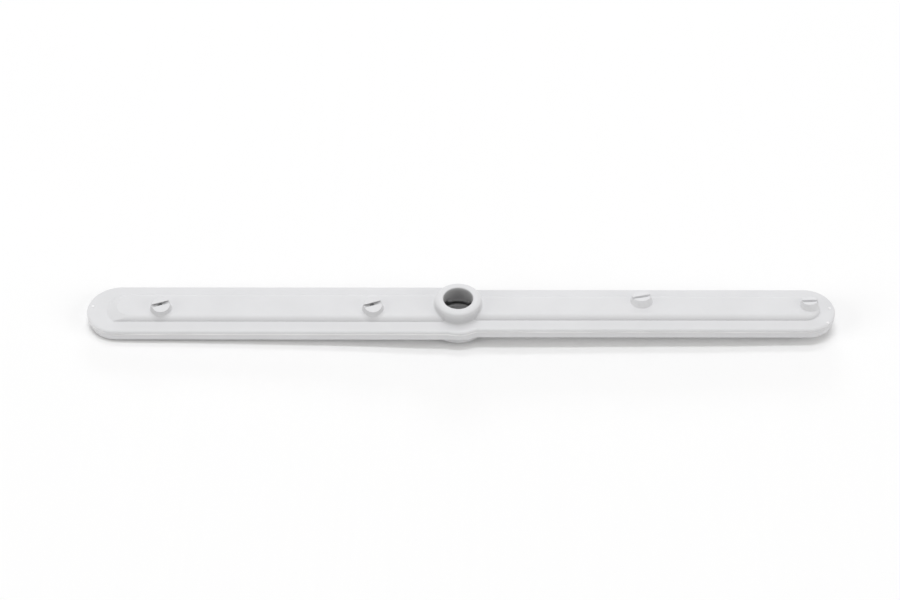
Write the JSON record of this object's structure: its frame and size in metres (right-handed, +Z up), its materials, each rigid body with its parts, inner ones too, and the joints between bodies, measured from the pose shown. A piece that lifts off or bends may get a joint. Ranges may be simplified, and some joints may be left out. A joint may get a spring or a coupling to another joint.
{
  "type": "dishwasher spray arm",
  "caption": "Long flat spray arm of welded shells with a raised water channel, slotted jet bosses and a round hub collar that takes the feed spigot, so water jets turn it under the rack.",
  "frame": {"origin": "on the hub axis, at the underside of the hub cup", "axes": "+X along the slim half of the arm, +Z up through the hub collar, +Y across the arm"},
  "size_m": [0.4596, 0.041, 0.0216],
  "materials": {
    "upper_shell": "light grey, fine satin",
    "lower_shell": "light grey, fine satin"
  },
  "bodies": {
    "root": {"upper_shell": "upper_shell", "lower_shell": "lower_shell"}
  },
  "joints": []
}
